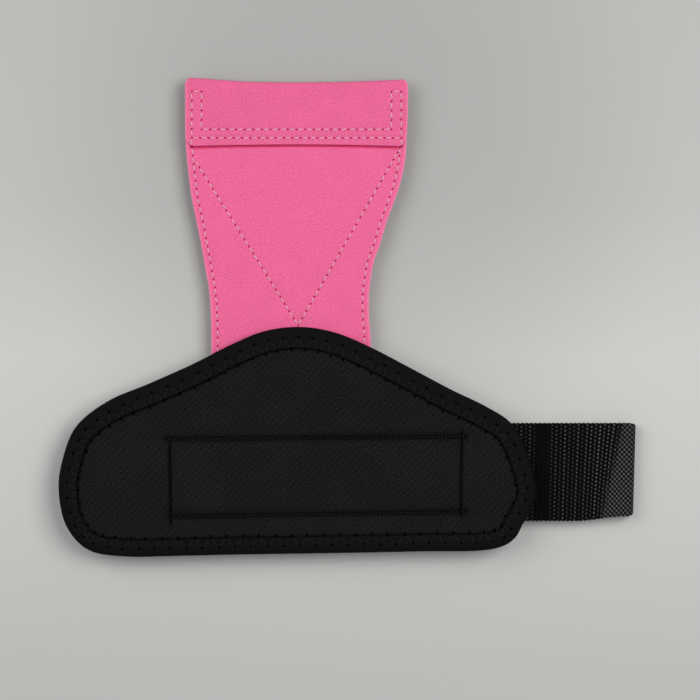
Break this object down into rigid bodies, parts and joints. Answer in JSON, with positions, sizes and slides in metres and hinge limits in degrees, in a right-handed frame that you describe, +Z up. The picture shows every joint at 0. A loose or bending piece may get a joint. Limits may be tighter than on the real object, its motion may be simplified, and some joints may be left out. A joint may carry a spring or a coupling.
{
  "type": "wrist support brace",
  "caption": "Padded wrist wrap with a microfibre palm flap, a webbing strap that folds back under it and a ring that takes the strap",
  "frame": {"origin": "centre of the bounding box in plan, at the height of the surface the brace lies on", "axes": "+X along the strap towards its folded end, +Y towards the finger end of the palm flap, +Z up from the surface, out of the skin side of the pad"},
  "size_m": [0.2252, 0.1864, 0.013],
  "materials": {
    "lining_fabric": "knitted, matt",
    "foam_core": "closed-cell foam",
    "shell_fabric": "knitted, matt",
    "binding_tape": "ribbed tape, matt",
    "webbing": "woven nylon",
    "microfibre_face": "suede-like microfibre, matt",
    "microfibre_back": "suede-like microfibre, matt",
    "pink_thread": "twisted thread",
    "black_thread": "twisted thread",
    "steel": "polished",
    "hook_tape": "hook tape, matt",
    "loop_tape": "napped loop tape, matt"
  },
  "bodies": {
    "wrist_pad": {"binding_centre_foot": "binding_tape", "binding_centre_top": "binding_tape", "box_stitch_foot": "black_thread", "box_stitch_top": "black_thread", "core_centre": "foam_core", "lining_centre": "lining_fabric", "shell_centre": "shell_fabric", "strap_centre": "webbing", "loop_patch": "loop_tape", "flap_root_back": "microfibre_back", "flap_root_face": "microfibre_face"},
    "left_wing": {"binding_left": "binding_tape", "box_stitch_left": "black_thread", "core_left": "foam_core", "lining_left": "lining_fabric", "shell_left": "shell_fabric", "strap_ring_tab": "webbing"},
    "right_wing": {"binding_right": "binding_tape", "box_stitch_right": "black_thread", "core_right": "foam_core", "lining_right": "lining_fabric", "shell_right": "shell_fabric", "strap_right": "webbing"},
    "ring": {"ring": "steel"},
    "palm_flap": {"flap_palm_back": "microfibre_back", "flap_palm_face": "microfibre_face", "v_stitch_palm": "pink_thread", "edge_stitch_left_palm": "pink_thread", "edge_stitch_right_palm": "pink_thread"},
    "flap_bend": {"flap_bend_back": "microfibre_back", "flap_bend_face": "microfibre_face", "v_stitch_left_bend": "pink_thread", "v_stitch_right_bend": "pink_thread", "edge_stitch_left_bend": "pink_thread", "edge_stitch_right_bend": "pink_thread"},
    "finger_end": {"flap_finger_back_and_hem": "microfibre_back", "flap_finger_face": "microfibre_face", "hem_stitch": "pink_thread", "v_stitch_left_finger": "pink_thread", "v_stitch_right_finger": "pink_thread", "edge_stitch_left_finger": "pink_thread", "edge_stitch_right_finger": "pink_thread"},
    "strap": {"strap_free": "webbing", "strap_fold": "webbing"},
    "strap_tail": {"strap_tail": "webbing", "hook_patch": "hook_tape"}
  },
  "joints": [
    {"name": "left_wing_wrap", "type": "hinge", "parent": "wrist_pad", "child": "left_wing", "pos_m": [-0.058, -0.055, 0.013], "axis": [0, 1, 0], "range_deg": [0, 100]},
    {"name": "right_wing_wrap", "type": "hinge", "parent": "wrist_pad", "child": "right_wing", "pos_m": [0.0145, -0.055, 0.013], "axis": [0, -1, 0], "range_deg": [0, 100]},
    {"name": "ring_swing", "type": "hinge", "parent": "left_wing", "child": "ring", "pos_m": [-0.084, -0.06035, 0.0037], "axis": [0, -1, 0], "range_deg": [0, 90]},
    {"name": "flap_lift", "type": "hinge", "parent": "wrist_pad", "child": "palm_flap", "pos_m": [-0.02, -0.0019, 0.00573], "axis": [1, 0, 0], "range_deg": [-90, 90]},
    {"name": "flap_curl", "type": "hinge", "parent": "palm_flap", "child": "flap_bend", "pos_m": [-0.02, 0.03, 0.00573], "axis": [-1, 0, 0], "range_deg": [0, 75]},
    {"name": "finger_curl", "type": "hinge", "parent": "flap_bend", "child": "finger_end", "pos_m": [-0.02, 0.055, 0.00573], "axis": [-1, 0, 0], "range_deg": [0, 75]},
    {"name": "strap_wrap", "type": "hinge", "parent": "right_wing", "child": "strap", "pos_m": [0.0765, -0.06035, 0.0061], "axis": [0, -1, 0], "range_deg": [0, 76]},
    {"name": "strap_unfold", "type": "hinge", "parent": "strap", "child": "strap_tail", "pos_m": [0.1135, -0.06035, 0.00337], "axis": [0, -1, 0], "range_deg": [0, 180], "deforming": ["strap_fold"]}
  ]
}
